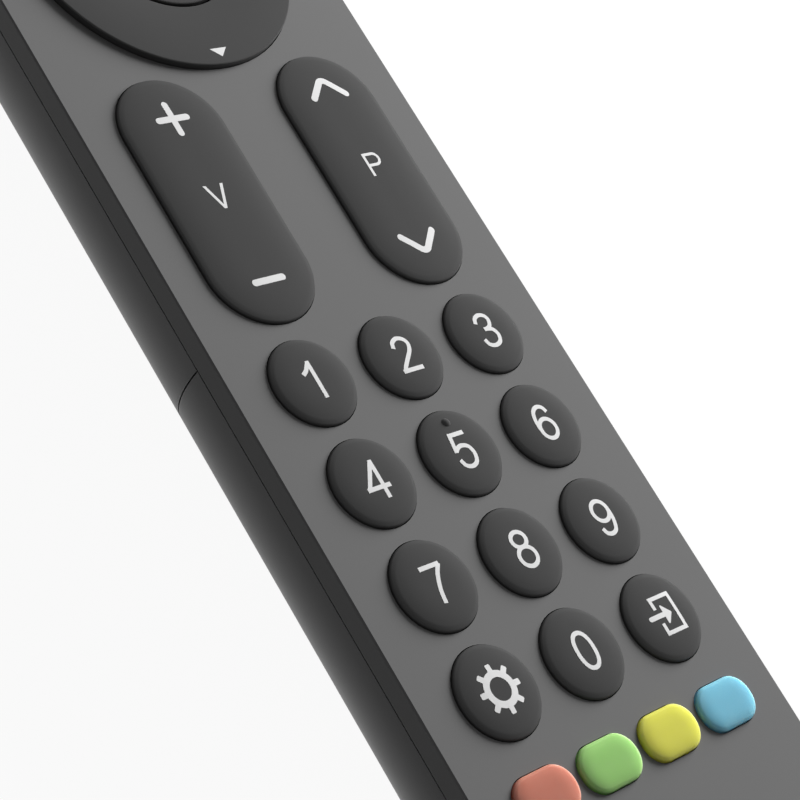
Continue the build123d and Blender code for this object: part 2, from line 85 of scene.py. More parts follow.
# Details that only the scene has
INK = 0.02 * MM  # how far a printed legend stands above the surface
DOT_PLACE = Vector((0.02, 3.62)) * MM  # touch dot, from the middle of its key
DOT_RADIUS = 0.55 * MM
DOT_RISE = 0.26 * MM
CONTACT_HALF = 1.7 * MM  # half the width of a pair of carbon pads
CONTACT_GAP = 0.2 * MM  # from the middle of the pair to each pad
CONTACT_INK = 0.03 * MM


# ---------- shapes ----------


def centre_of(node):
    """Middle of a CAD node's box, seen from above."""
    low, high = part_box(node)
    return (low.x + high.x) / 2, (low.y + high.y) / 2


def add_piece(name, bm, body, material, replaces=None):
    """Turns a finished bmesh into a piece that rides on a body, smooth but for its sharp edges."""
    bmesh.ops.recalc_face_normals(bm, faces=bm.faces[:])
    mesh = bpy.data.meshes.new(name)
    bm.to_mesh(mesh)
    bm.free()
    mesh.shade_smooth()
    mesh.set_sharp_from_angle(angle=SHARP_EDGE)
    mesh.materials.append(material)
    piece = bpy.data.objects.new(name, mesh)
    bpy.context.scene.collection.objects.link(piece)
    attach(piece, body)
    if replaces:
        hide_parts(replaces)


def top_levels(top, measures, bottom):
    """(inset, level) pairs up a straight side, round its edge and over a crown that flattens inwards."""
    radius, crown, reach = measures
    full = math.pi / 2 - math.atan2(3 * crown, reach)  # turn of the edge up to the start of the crown
    levels = [(0.0, bottom)]
    for i in range(ARC_STEPS + 1):
        angle = full * i / ARC_STEPS
        drop = radius * (math.sin(full) - math.sin(angle))
        levels.append((radius * (1 - math.cos(angle)), top - crown - drop))
    start = levels[-1][0]
    if crown:
        for i in range(1, CROWN_STEPS + 1):
            inset = start + (reach - start) * (i / CROWN_STEPS) ** CROWN_SPACING
            levels.append((inset, crown_level(top, measures, inset)))
    return levels


def crown_level(top, measures, inset):
    """Level of a key's crown at a distance from its edge."""
    _, crown, reach = measures
    return top - crown * max(0.0, 1 - inset / reach) ** 3


def arcs(pieces, steps):
    """Closed outline, drawn in by an inset, through arcs.

    Each arc is (centre x, centre y, radius, first angle, last angle).
    """

    def outline(inset):
        points = []
        for x, y, radius, first, last in pieces:
            for i in range(steps + 1):
                angle = first + (last - first) * i / steps
                drawn = radius - inset
                points.append((x + drawn * math.cos(angle), y + drawn * math.sin(angle)))
        return points

    return outline


def circle(radius, steps=ROUND_STEPS):
    """Outline of a round piece."""
    turn = 2 * math.pi / steps
    return arcs([(0, 0, radius, 0, 2 * math.pi - turn)], steps - 1)


def slot_outline(length, width):
    """Slot with its length along Y."""
    radius = width / 2
    offset = length / 2 - radius
    ends = [(0, offset, radius, 0, math.pi), (0, -offset, radius, math.pi, 2 * math.pi)]
    return arcs(ends, ROUND_STEPS // 2)


def cut_circle_outline(radius, depth, corner):
    """Circle cut flat at its front and back, with rounded corners."""
    rise = depth / 2 - corner
    reach = math.sqrt((radius - corner) ** 2 - rise**2)
    lean = math.atan2(rise, reach)
    half_turn, quarter = math.pi, math.pi / 2
    return arcs(
        [
            (0, 0, radius, -lean, lean),
            (reach, rise, corner, lean, quarter),
            (-reach, rise, corner, quarter, half_turn - lean),
            (0, 0, radius, half_turn - lean, half_turn + lean),
            (-reach, -rise, corner, half_turn + lean, 3 * quarter),
            (reach, -rise, corner, 3 * quarter, 4 * quarter - lean),
        ],
        CORNER_STEPS,
    )


def join_rings(bm, pairs):
    """Faces between each two neighbouring rings of points."""
    for low, high in pairs:
        for i in range(len(low)):
            j = (i + 1) % len(low)
            bm.faces.new((low[i], low[j], high[j], high[i]))


def stack(bm, outline, levels, centre):
    """Closed solid through copies of an outline, one for each (inset, level)."""
    x, y = centre
    rings = [[bm.verts.new((x + dx, y + dy, level)) for dx, dy in outline(inset)] for inset, level in levels]
    join_rings(bm, zip(rings, rings[1:]))
    bm.faces.new(rings[0][::-1])
    bm.faces.new(rings[-1])
    bmesh.ops.remove_doubles(bm, verts=bm.verts[:], dist=MERGE_DISTANCE)


def block(bm, low, high):
    """Plain block between two corners, part of a larger piece."""
    made = bmesh.ops.create_cube(bm, size=1)
    middle, size = (Vector(low) + Vector(high)) / 2, Vector(high) - Vector(low)
    for vert in made["verts"]:
        vert.co = Vector(vert.co[i] * size[i] + middle[i] for i in range(3))


def turned(bm, profile, centre, steps):
    """Solid of revolution of a closed (radius, level) profile about an upright axis."""
    x, y = centre
    turns = [2 * math.pi * i / steps for i in range(steps)]
    rings = [
        [bm.verts.new((x + radius * math.cos(turn), y + radius * math.sin(turn), level)) for turn in turns]
        for radius, level in profile
    ]
    join_rings(bm, zip(rings, rings[1:] + rings[:1]))


# ---------- legends, drawn in millimetres from the middle of their key ----------

INK_STEP = 0.4  # longest step along a stroke
END_STEPS = 24  # facets of a stroke's rounded end
MITRE_LIMIT = 0.5
SAME_PLACE = 1e-5  # points closer than this count as one
DIGIT_WIDTH = 0.52  # widths of strokes
SIGN_WIDTH = 0.82
CHEVRON_WIDTH = 0.86


def smooth_line(points, steps=8):
    """Curve through points, rounded between them."""
    points = [Vector(p) for p in points]
    knots = [2 * points[0] - points[1]] + points + [2 * points[-1] - points[-2]]
    line = []
    for a, b, c, d in zip(knots, knots[1:], knots[2:], knots[3:]):
        for i in range(steps):
            t = i / steps
            square, cube = 2 * a - 5 * b + 4 * c - d, 3 * b - a - 3 * c + d
            line.append((2 * b + (c - a) * t + square * t**2 + cube * t**3) / 2)
    return line + [points[-1]]


def oval(x, y, across, along, power=2.0, first=0.0, last=2 * math.pi, steps=64):
    """Centre line of an oval or a part of it; a power over 2 gives it straighter sides."""
    line = []
    for i in range(steps + 1):
        angle = first + (last - first) * i / steps
        c, s = math.cos(angle), math.sin(angle)
        dx = across * math.copysign(abs(c) ** (2 / power), c)
        dy = along * math.copysign(abs(s) ** (2 / power), s)
        line.append(Vector((x + dx, y + dy)))
    return line


def sides_of(line, half_width):
    """Left and right sides of a stroke, mitred where it bends; a closed line ends where it starts."""
    closed = (line[0] - line[-1]).length < SAME_PLACE
    left, right = [], []
    for i, point in enumerate(line):
        before = line[i - 1] if i else line[-2]
        after = line[i + 1] if i < len(line) - 1 else line[1]
        into, out = (point - before).normalized(), (after - point).normalized()
        if not closed and i == 0:
            into = out
        if not closed and i == len(line) - 1:
            out = into
        way = (into + out).normalized()
        side = Vector((-way.y, way.x)) * (half_width / max(MITRE_LIMIT, way.dot(out)))
        left.append(point + side)
        right.append(point - side)
    return left, right


def stroke(points, width, rounded=False):
    """Pieces of ink along a centre line: a quad for each step, and discs at rounded ends."""
    line = [Vector(points[0])]
    for point in points[1:]:
        start, way = line[-1], Vector(point) - line[-1]
        count = max(1, math.ceil(way.length / INK_STEP))
        line += [start + way * (i + 1) / count for i in range(count)]
    left, right = sides_of(line, width / 2)
    shapes = [[left[i], right[i], right[i + 1], left[i + 1]] for i in range(len(line) - 1)]
    if rounded:
        for end in (line[0], line[-1]):
            turns = [2 * math.pi * i / END_STEPS for i in range(END_STEPS)]
            shapes.append([end + Vector((math.cos(a), math.sin(a))) * width / 2 for a in turns])
    return shapes


def print_legend(name, body, shapes, centre, level_at):
    """Joins overlapping shapes into one thin layer of ink that follows a key's top."""
    points, outlines = [], []
    for shape in shapes:
        around = zip(shape, shape[1:] + shape[:1])
        if sum(a[0] * b[1] - b[0] * a[1] for a, b in around) < 0:
            shape = shape[::-1]
        outlines.append([len(points) + i for i in range(len(shape))])
        points += [Vector(p) for p in shape]
    spots, _, triangles, _, _, sources = delaunay_2d_cdt(points, [], outlines, 1, SAME_PLACE)
    inked = [t for t, source in zip(triangles, sources) if source]
    bm = bmesh.new()
    x, y = centre
    spots = [Vector((p.x * MM, p.y * MM)) for p in spots]
    tops = [bm.verts.new((x + p.x, y + p.y, level_at(p) + INK)) for p in spots]
    feet = [bm.verts.new((x + p.x, y + p.y, level_at(p) - INK)) for p in spots]
    edges = {}
    for triangle in inked:
        bm.faces.new([tops[i] for i in triangle])
        bm.faces.new([feet[i] for i in reversed(triangle)])
        for i, j in zip(triangle, triangle[1:] + triangle[:1]):
            edges[(i, j)] = True
    for i, j in edges:
        if (j, i) not in edges:
            bm.faces.new((tops[j], tops[i], feet[i], feet[j]))
    loose = [v for v in bm.verts if not v.link_faces]
    bmesh.ops.delete(bm, geom=loose, context="VERTS")
    add_piece(name, bm, body, LEGEND)


# Digits: straight strokes, curved strokes and ovals (x, y, across, along, power)
DIGITS = {
    "1": {
        "straight": [[(0.12, -2.33), (0.12, 2.32)]],
        "curved": [[(-1.29, 0.82), (-0.65, 1.23), (0.01, 1.98)]],
    },
    "2": {
        "straight": [[(-1.53, -2.03), (1.52, -2.03)]],
        "curved": [
            [(-1.12, 0.9), (-0.81, 1.63), (0.04, 2.01), (0.89, 1.71), (1.21, 1.05), (0.85, 0.2)]
            + [(-0.27, -0.9), (-0.98, -1.63), (-1.19, -2.07)],
        ],
    },
    "3": {
        "curved": [
            [(-1.14, 1.03), (-0.79, 1.73), (-0.03, 2.02), (0.77, 1.77), (1.03, 1.15), (0.73, 0.45)]
            + [(0.15, 0.16), (-0.36, 0.14)],
            [(-0.01, 0.15), (0.83, -0.11), (1.23, -0.9), (0.87, -1.77), (-0.01, -2.08), (-0.84, -1.81)]
            + [(-1.2, -1.07)],
        ],
    },
    "4": {
        "straight": [
            [(0.54, -2.32), (0.54, 2.31)],
            [(-1.76, -0.93), (1.52, -0.93)],
            [(-1.51, -0.97), (0.45, 2.0)],
        ],
    },
    "5": {
        "straight": [[(-0.99, 2.01), (1.35, 2.01)], [(-0.74, 2.28), (-1.13, -0.09)]],
        "curved": [
            [(-1.15, 0.01), (-0.59, 0.41), (0.09, 0.55), (0.91, 0.21), (1.22, -0.72), (0.87, -1.69)]
            + [(-0.03, -2.06), (-0.86, -1.75), (-1.21, -0.99)]
        ],
    },
    "6": {
        "curved": [
            [(1.14, 1.15), (0.81, 1.81), (0.12, 2.04), (-0.65, 1.69), (-1.11, 0.83), (-1.22, -0.27)]
            + [(-1.11, -0.97)]
        ],
        "ovals": [(0.03, -0.82, 1.18, 1.25)],
    },
    "7": {
        "straight": [[(-1.34, 1.97), (1.55, 1.97)]],
        "curved": [[(1.49, 1.98), (0.75, 1.03), (0.23, 0.03), (-0.14, -1.02), (-0.35, -2.31)]],
    },
    "8": {"ovals": [(-0.01, 1.16, 1.05, 0.93), (0.0, -0.93, 1.24, 1.17)]},
    "9": {
        "curved": [
            [(1.14, 1.03), (1.21, 0.23), (1.09, -0.77), (0.65, -1.74), (-0.11, -2.06), (-0.84, -1.84)]
            + [(-1.18, -1.17)]
        ],
        "ovals": [(-0.05, 0.82, 1.2, 1.26)],
    },
    "0": {"ovals": [(0.0, 0.03, 1.23, 2.08, 2.25)]},
}


def digit_shapes(digit):
    """Strokes of one digit."""
    parts = DIGITS[digit]
    shapes = []
    for points in parts.get("straight", []):
        shapes += stroke(points, DIGIT_WIDTH)
    for points in parts.get("curved", []):
        shapes += stroke(smooth_line(points), DIGIT_WIDTH)
    for measures in parts.get("ovals", []):
        shapes += stroke(oval(*measures), DIGIT_WIDTH)
    return shapes


def cog_shapes():
    """Ring with eight short teeth."""
    teeth, middle = 8, Vector((0, 0.03))
    tooth = [(1.9, -0.35), (2.76, -0.33), (2.86, -0.22), (2.86, 0.22), (2.76, 0.33), (1.9, 0.35)]
    shapes = stroke(oval(middle.x, middle.y, 1.73, 1.73), 0.8)
    for i in range(teeth):
        turn = 2 * math.pi * i / teeth
        way = Vector((math.cos(turn), math.sin(turn)))
        side = Vector((-way.y, way.x))
        shapes.append([middle + way * out + side * across for out, across in tooth])
    return shapes


def input_shapes():
    """Bracket that is open on the left, with an arrow going into it."""
    bracket = [(-0.99, 0.87), (-0.99, 2.14), (2.01, 2.14), (2.01, -2.08), (-0.99, -2.08), (-0.99, -0.81)]
    shaft = [(-2.31, 0.08), (0.09, 0.08)]
    head = [(-0.11, -0.99), (-0.03, -1.09), (0.09, -1.07), (1.09, -0.03)]
    head += [(1.09, 0.09), (0.09, 1.15), (-0.03, 1.16), (-0.11, 1.07)]
    return stroke(bracket, 0.47) + stroke(shaft, 0.58, rounded=True) + [head]


def power_shapes():
    """Open ring with a bar in its gap."""
    gap, width = math.radians(40), 0.5
    ring = oval(0, -0.15, 1.75, 1.75, first=math.pi / 2 + gap, last=5 * math.pi / 2 - gap)
    return stroke(ring, width, rounded=True) + stroke([(0, 0.1), (0, 2.05)], width, rounded=True)


def chevron_shapes(y, way):
    """Chevron on a rocker's end, its corner on the side that way points to."""
    reach, bend, bend_centre = 2.54, 0.75, 1.49
    corner = oval(0, bend_centre, bend, bend, first=3 * math.pi / 4, last=math.pi / 4, steps=12)
    points = [(-reach, 0)] + corner + [(reach, 0)]
    return stroke([(x, y + way * rise) for x, rise in points], CHEVRON_WIDTH, rounded=True)


def volume_shapes():
    """Plus, V and minus."""
    reach, plus, minus = 1.95, 10.56, -11.25
    signs = [
        [(-reach, plus), (reach, plus)],
        [(0, plus - reach), (0, plus + reach)],
        [(-reach, minus), (reach, minus)],
    ]
    shapes = [shape for line in signs for shape in stroke(line, SIGN_WIDTH, rounded=True)]
    for side in (-1, 1):
        shapes.append([(side * 1.42, 1.5), (side * 1.0, 1.5), (-side * 0.19, -1.67), (side * 0.19, -1.67)])
    return shapes


def programme_shapes():
    """Up, P and down."""
    bend = oval(0.61, 0.685, 0.755, 0.755, first=math.pi / 2, last=-math.pi / 2, steps=16)
    bowl = [Vector((-0.7, 1.44))] + bend + [Vector((-0.7, -0.07))]
    letter = stroke([(-0.69, -1.55), (-0.69, 1.61)], 0.38) + stroke(bowl, 0.37)
    return letter + chevron_shapes(10.04, 1) + chevron_shapes(-9.96, -1)


# ---------- materials ----------


def srgb(red, green, blue):
    """Colour as seen on screen, in linear light."""
    shades = (red / 255, green / 255, blue / 255)
    return tuple(c / 12.92 if c < 0.04045 else ((c + 0.055) / 1.055) ** 2.4 for c in shades) + (1.0,)


def tinted(colour, share):
    """Colour made lighter or darker."""
    return tuple(min(1.0, c * share) for c in colour[:3]) + (1.0,)


def new_group(name, inputs, outputs):
    """Empty shader node group with named sockets."""
    group = bpy.data.node_groups.new(name, "ShaderNodeTree")
    for label in inputs:
        group.interface.new_socket(label, in_out="INPUT", socket_type="NodeSocketFloat")
    for label, kind in outputs:
        group.interface.new_socket(label, in_out="OUTPUT", socket_type=kind)
    return group, group.nodes.new("NodeGroupInput"), group.nodes.new("NodeGroupOutput")


def grain_group():
    """Fine moulded grain: a broad mottle, and the normal of a fine bump."""
    outputs = [("Mottle", "NodeSocketFloat"), ("Normal", "NodeSocketVector")]
    group, source, target = new_group("moulded_grain", ["Scale", "Strength"], outputs)
    nodes, links = group.nodes, group.links
    place = nodes.new("ShaderNodeTexCoord")
    broad = nodes.new("ShaderNodeTexNoise")
    broad.inputs["Scale"].default_value = 70.0
    broad.inputs["Detail"].default_value = 4.0
    fine = nodes.new("ShaderNodeTexNoise")
    fine.inputs["Detail"].default_value = 2.0
    bump = nodes.new("ShaderNodeBump")
    bump.inputs["Distance"].default_value = 0.02 * MM
    for texture in (broad, fine):
        links.new(place.outputs["Object"], texture.inputs["Vector"])
    links.new(source.outputs["Scale"], fine.inputs["Scale"])
    links.new(source.outputs["Strength"], bump.inputs["Strength"])
    links.new(fine.outputs["Fac"], bump.inputs["Height"])
    links.new(broad.outputs["Fac"], target.inputs["Mottle"])
    links.new(bump.outputs["Normal"], target.inputs["Normal"])
    return group


def wear_group():
    """Mask of the outer edges that hands have rubbed smooth, broken up by noise."""
    group, source, target = new_group("edge_wear", ["Width", "Amount"], [("Mask", "NodeSocketFloat")])
    nodes, links = group.nodes, group.links
    bevel = nodes.new("ShaderNodeBevel")
    bevel.samples = 4
    geometry = nodes.new("ShaderNodeNewGeometry")
    dot = nodes.new("ShaderNodeVectorMath")
    dot.operation = "DOT_PRODUCT"
    bend = nodes.new("ShaderNodeMapRange")
    bend.inputs["From Min"].default_value = 1.0
    bend.inputs["From Max"].default_value = 0.8
    place = nodes.new("ShaderNodeTexCoord")
    noise = nodes.new("ShaderNodeTexNoise")
    noise.inputs["Scale"].default_value = 900.0
    noise.inputs["Detail"].default_value = 4.0
    uneven, share = nodes.new("ShaderNodeMath"), nodes.new("ShaderNodeMath")
    uneven.operation = share.operation = "MULTIPLY"
    share.use_clamp = True
    links.new(source.outputs["Width"], bevel.inputs["Radius"])
    links.new(bevel.outputs["Normal"], dot.inputs[0])
    links.new(geometry.outputs["Normal"], dot.inputs[1])
    links.new(dot.outputs["Value"], bend.inputs["Value"])
    links.new(place.outputs["Object"], noise.inputs["Vector"])
    links.new(bend.outputs["Result"], uneven.inputs[0])
    links.new(noise.outputs["Fac"], uneven.inputs[1])
    links.new(uneven.outputs["Value"], share.inputs[0])
    links.new(source.outputs["Amount"], share.inputs[1])
    links.new(share.outputs["Value"], target.inputs["Mask"])
    return group


GRAIN = grain_group()
WEAR = wear_group()
WEAR_WIDTH = 0.2 * MM
HOUSING_WEAR = 0.5
KEY_WEAR = 0.2
RUBBED_TONE = 1.35  # a rubbed edge against the colour beside it
RUBBED_ROUGHNESS = -0.25  # added to the roughness there
ROUGHNESS_SPREAD = 0.06  # how far the mottle takes the roughness up and down


def place_group(tree, group, values):
    """Puts a node group into a material with its own values."""
    node = tree.nodes.new("ShaderNodeGroup")
    node.node_tree = group
    for label, value in values.items():
        node.inputs[label].default_value = value
    return node


def blend(tree, factor, low, high):
    """Colour between two others by a mask."""
    mix = tree.nodes.new("ShaderNodeMix")
    mix.data_type = "RGBA"
    tree.links.new(factor, mix.inputs["Factor"])
    for label, colour in (("A", low), ("B", high)):
        if isinstance(colour, tuple):
            mix.inputs[label].default_value = colour
        else:
            tree.links.new(colour, mix.inputs[label])
    return mix.outputs["Result"]


def spread(tree, value, low, high):
    """Maps a mask between two numbers."""
    node = tree.nodes.new("ShaderNodeMapRange")
    node.inputs["To Min"].default_value = low
    node.inputs["To Max"].default_value = high
    tree.links.new(value, node.inputs["Value"])
    return node.outputs["Result"]


def surface(
    name, colour, roughness, mottle=0.05, scale=9000.0, strength=0.3, wear=0.0, specular=0.3, metallic=0.0
):
    """Mottled, finely grained surface whose outer edges are rubbed a little lighter and smoother."""
    material = bpy.data.materials.new(name)
    material.use_nodes = True
    tree = material.node_tree
    shader = tree.nodes["Principled BSDF"]
    grain = place_group(tree, GRAIN, {"Scale": scale, "Strength": strength})
    broad = grain.outputs["Mottle"]
    tone = blend(tree, broad, tinted(colour, 1 - mottle), tinted(colour, 1 + mottle))
    rough = spread(tree, broad, roughness - ROUGHNESS_SPREAD, roughness + ROUGHNESS_SPREAD)
    if wear:
        rubbed = place_group(tree, WEAR, {"Width": WEAR_WIDTH, "Amount": wear}).outputs["Mask"]
        tone = blend(tree, rubbed, tone, tinted(colour, RUBBED_TONE))
        smooth = tree.nodes.new("ShaderNodeMath")
        smooth.operation = "MULTIPLY_ADD"
        smooth.inputs[1].default_value = RUBBED_ROUGHNESS
        tree.links.new(rubbed, smooth.inputs[0])
        tree.links.new(rough, smooth.inputs[2])
        rough = smooth.outputs["Value"]
    tree.links.new(tone, shader.inputs["Base Color"])
    tree.links.new(rough, shader.inputs["Roughness"])
    tree.links.new(grain.outputs["Normal"], shader.inputs["Normal"])
    shader.inputs["Specular IOR Level"].default_value = specular
    shader.inputs["Metallic"].default_value = metallic
    return material


def colour_plastic(name, colour):
    """Tinted plastic of a coloured key, which lets some light through."""
    material = surface(name, colour, 0.5, mottle=0.02, wear=KEY_WEAR, specular=0.2)
    shader = material.node_tree.nodes["Principled BSDF"]
    shader.inputs["Subsurface Weight"].default_value = 1.0
    shader.inputs["Subsurface Radius"].default_value = (1, 1, 1)
    shader.inputs["Subsurface Scale"].default_value = 2.5 * MM
    return material


def cell_sleeve(name, plus_end, minus_end):
    """Battery: a dark printed sleeve, a copper band at its plus end and bare steel past both ends."""
    sleeve, band, steel = srgb(48, 54, 64), srgb(186, 120, 62), srgb(190, 190, 194)
    bare, printed = (1, 1, 1, 1), (0, 0, 0, 1)
    starts = (0.0, 0.012, 0.72, 0.985)  # of steel, sleeve, band and steel, from the minus end
    material = surface(name, sleeve, 0.35, mottle=0.04, scale=4000.0, strength=0.05, specular=0.5)
    tree = material.node_tree
    place = tree.nodes.new("ShaderNodeTexCoord")
    split = tree.nodes.new("ShaderNodeSeparateXYZ")
    tree.links.new(place.outputs["Object"], split.inputs["Vector"])
    along = tree.nodes.new("ShaderNodeMapRange")
    along.inputs["From Min"].default_value = minus_end
    along.inputs["From Max"].default_value = plus_end
    tree.links.new(split.outputs["Y"], along.inputs["Value"])
    for target, tints in (
        ("Base Color", (steel, sleeve, band, steel)),
        ("Metallic", (bare, printed, printed, bare)),
    ):
        ramp = tree.nodes.new("ShaderNodeValToRGB")
        ramp.color_ramp.interpolation = "CONSTANT"
        stops = ramp.color_ramp.elements
        stops[0].position, stops[1].position = starts[:2]
        for start in starts[2:]:
            stops.new(start)
        for stop, tint in zip(stops, tints):
            stop.color = tint
        tree.links.new(along.outputs["Result"], ramp.inputs["Fac"])
        tree.links.new(ramp.outputs["Color"], tree.nodes["Principled BSDF"].inputs[target])
    return material


HOUSING = surface("housing_plastic", srgb(108, 108, 108), 0.4, mottle=0.02, wear=HOUSING_WEAR, specular=0.15)
KEYS = surface("key_plastic", srgb(65, 65, 65), 0.4, mottle=0.02, wear=KEY_WEAR, specular=0.15)
COLOURS = {
    "key_red": colour_plastic("key_red_plastic", srgb(189, 121, 103)),
    "key_green": colour_plastic("key_green_plastic", srgb(146, 193, 114)),
    "key_yellow": colour_plastic("key_yellow_plastic", srgb(206, 204, 86)),
    "key_blue": colour_plastic("key_blue_plastic", srgb(118, 181, 203)),
}
LEGEND = surface("legend_ink", srgb(223, 223, 223), 0.6, mottle=0.01, scale=6000.0, strength=0.1)
WINDOW = surface("window_plastic", srgb(26, 16, 22), 0.14, scale=3000.0, strength=0.02, specular=0.6)
CARBON = surface("carbon_ink", srgb(24, 24, 26), 0.6)
STEEL = surface(
    "contact_plate", srgb(200, 200, 204), 0.28, mottle=0.1, scale=4000.0, strength=0.12, metallic=1.0
)
FRAME_FINISH = {
    "top_housing": HOUSING,
    "bottom_housing": HOUSING,
    "battery_cover": HOUSING,
    "ir_window": WINDOW,
    "nav_pivot": surface("natural_plastic", srgb(206, 202, 190), 0.5),
    "keypad_mat": surface("mat_rubber", srgb(70, 72, 76), 0.75, scale=5000.0, strength=0.5),
    "circuit_board": surface("board_laminate", srgb(30, 96, 56), 0.4, mottle=0.12, specular=0.5),
    "controller_chip": surface("chip_epoxy", srgb(32, 32, 34), 0.5),
    "resonator": surface("resonator_coat", srgb(206, 118, 42), 0.35, specular=0.5),
    "capacitor": surface("can_aluminium", srgb(196, 198, 202), 0.32, strength=0.15, metallic=1.0),
    "ir_emitter_left": surface("emitter_resin", srgb(134, 150, 186), 0.15, strength=0.02, specular=0.6),
    "positive_terminal": STEEL,
    "negative_terminal": STEEL,
    "battery_bridge": STEEL,
    "battery_spring_front": STEEL,
    "battery_spring_rear": STEEL,
}
FRAME_FINISH["ir_emitter_right"] = FRAME_FINISH["ir_emitter_left"]


# ---------- pieces ----------


def dress_frame():
    """Materials for the CAD nodes that stay in view."""
    for name, material in FRAME_FINISH.items():
        NODES[name].material_slots[0].material = material
    for name, turned_round in (("battery_left", False), ("battery_right", True)):
        low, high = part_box(name)
        ends = (low.y, high.y) if turned_round else (high.y, low.y)
        NODES[name].material_slots[0].material = cell_sleeve(name + "_sleeve", *ends)


def plunger(bm, x, y, low, high):
    """Square post under a key, over its contact."""
    half = PLUNGER / 2
    block(bm, (x - half, y - half, low), (x + half, y + half, high))


def side_tabs(bm, low, high, radius, level, thickness):
    """Tabs on the left and right of a round cap, which hold it under the face."""
    x, y = (low.x + high.x) / 2, (low.y + high.y) / 2
    half, inner = TAB_WIDTH / 2, radius - TAB
    for start, end in ((low.x, x - inner), (x + inner, high.x)):
        block(bm, (start, y - half, level), (end, y + half, level + thickness))


def round_key(name, shapes):
    """Cap with a soft rim, two tabs and a plunger, in place of the plain CAD key."""
    low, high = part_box(name)
    x, y = centre = centre_of(name)
    radius = (high.y - low.y) / 2
    bm = bmesh.new()
    stack(bm, circle(radius), top_levels(high.z, KEY_TOP, FLANGE), centre)
    side_tabs(bm, low, high, radius, FLANGE, TAB)
    plunger(bm, x, y, low.z, FLANGE)
    add_piece("cap_" + name, bm, name, KEYS, name)

    def level_at(p):
        return crown_level(high.z, KEY_TOP, radius - p.length)

    print_legend("legend_" + name, name, shapes, centre, level_at)


def colour_key(name):
    """Coloured cap with a soft rim, tabs at the front and back, and a plunger."""
    low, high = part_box(name)
    x, y = centre = centre_of(name)
    depth = high.y - low.y - 2 * TAB
    bm = bmesh.new()
    outline = cut_circle_outline((high.x - low.x) / 2, depth, COLOUR_CORNER)
    stack(bm, outline, top_levels(high.z, COLOUR_TOP, FLANGE), centre)
    half, inner = TAB_WIDTH / 2, depth / 2 - TAB
    for start, end in ((low.y, y - inner), (y + inner, high.y)):
        block(bm, (x - half, start, FLANGE), (x + half, end, FLANGE + TAB))
    plunger(bm, x, y, low.z, FLANGE)
    add_piece("cap_" + name, bm, name, COLOURS[name], name)


def rocker(name, shapes):
    """Long cap with a soft rim, its post, tabs and two plungers."""
    low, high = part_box(name)
    x, y = centre = centre_of(name)
    length, width = high.y - low.y, high.x - low.x - 2 * TAB
    under = FACE - ROCKER_FOOT
    post = TAB_WIDTH  # half the width of the post
    bm = bmesh.new()
    stack(bm, slot_outline(length, width), top_levels(high.z, ROCKER_TOP, under), centre)
    block(bm, (x - post, y - post, FLANGE), (x + post, y + post, under))
    block(bm, (low.x, y - post, FLANGE + TAB - THIN_TAB), (high.x, y + post, FLANGE + TAB))
    for side in (-1, 1):
        plunger(bm, x, y + side * (length / 2 - ROCKER_PRESS), low.z, under)
    add_piece("cap_" + name, bm, name, KEYS, name)
    axis = (length - width) / 2

    def level_at(p):
        beside = Vector((p.x, max(0.0, abs(p.y) - axis)))
        return crown_level(high.z, ROCKER_TOP, width / 2 - beside.length)

    print_legend("legend_" + name, name, shapes, centre, level_at)


def nav_ring():
    """Ring on four legs with tabs, and its four small triangles."""
    low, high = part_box("nav_ring")
    x, y = centre = centre_of("nav_ring")
    reach = (high.x - low.x) / 2
    radius = reach - TAB
    centre_low, centre_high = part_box("ok_button")
    bore = (centre_high.y - centre_low.y) / 2 + CENTRE_GAP
    under = FACE - RING_FOOT
    sides = top_levels(high.z, RING_TOP, under)
    outer = [(radius - inset, level) for inset, level in sides]
    inner = [(bore + inset, level) for inset, level in sides]
    bm = bmesh.new()
    turned(bm, outer + inner[::-1], centre, 2 * ROUND_STEPS)
    press, leg = radius - RING_PRESS, PLUNGER / 2
    for along_x, along_y in ((1, 0), (-1, 0), (0, 1), (0, -1)):
        plunger(bm, x + along_x * press, y + along_y * press, low.z, under)
        corners = [
            (x + along_x * out + along_y * side, y + along_y * out + along_x * side)
            for out, side in ((press - leg, -leg), (reach, leg))
        ]
        (left, right), (back, front) = [sorted(pair) for pair in zip(*corners)]
        block(bm, (left, back, RING_TAB), (right, front, RING_TAB + THIN_TAB))
    add_piece("cap_nav_ring", bm, "nav_ring", KEYS, "nav_ring")

    foot, tip, half = 16.01, 17.21, 1.22  # a triangle's foot and tip from the middle, and half its width
    triangles = []
    for i in range(4):
        way = Vector((math.sin(i * math.pi / 2), -math.cos(i * math.pi / 2)))
        side = Vector((-way.y, way.x))
        triangles.append([way * foot - side * half, way * tip, way * foot + side * half])
    print_legend("legend_nav_ring", "nav_ring", triangles, centre, lambda p: high.z)


def centre_key():
    """Flat cap inside the ring, with two tabs and a plunger."""
    low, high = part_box("ok_button")
    x, y = centre = centre_of("ok_button")
    radius = (high.y - low.y) / 2
    bm = bmesh.new()
    stack(bm, circle(radius), top_levels(high.z, RING_TOP, FLANGE), centre)
    side_tabs(bm, low, high, radius, CENTRE_TAB, THIN_TAB)
    plunger(bm, x, y, low.z, FLANGE)
    add_piece("cap_ok_button", bm, "ok_button", KEYS, "ok_button")


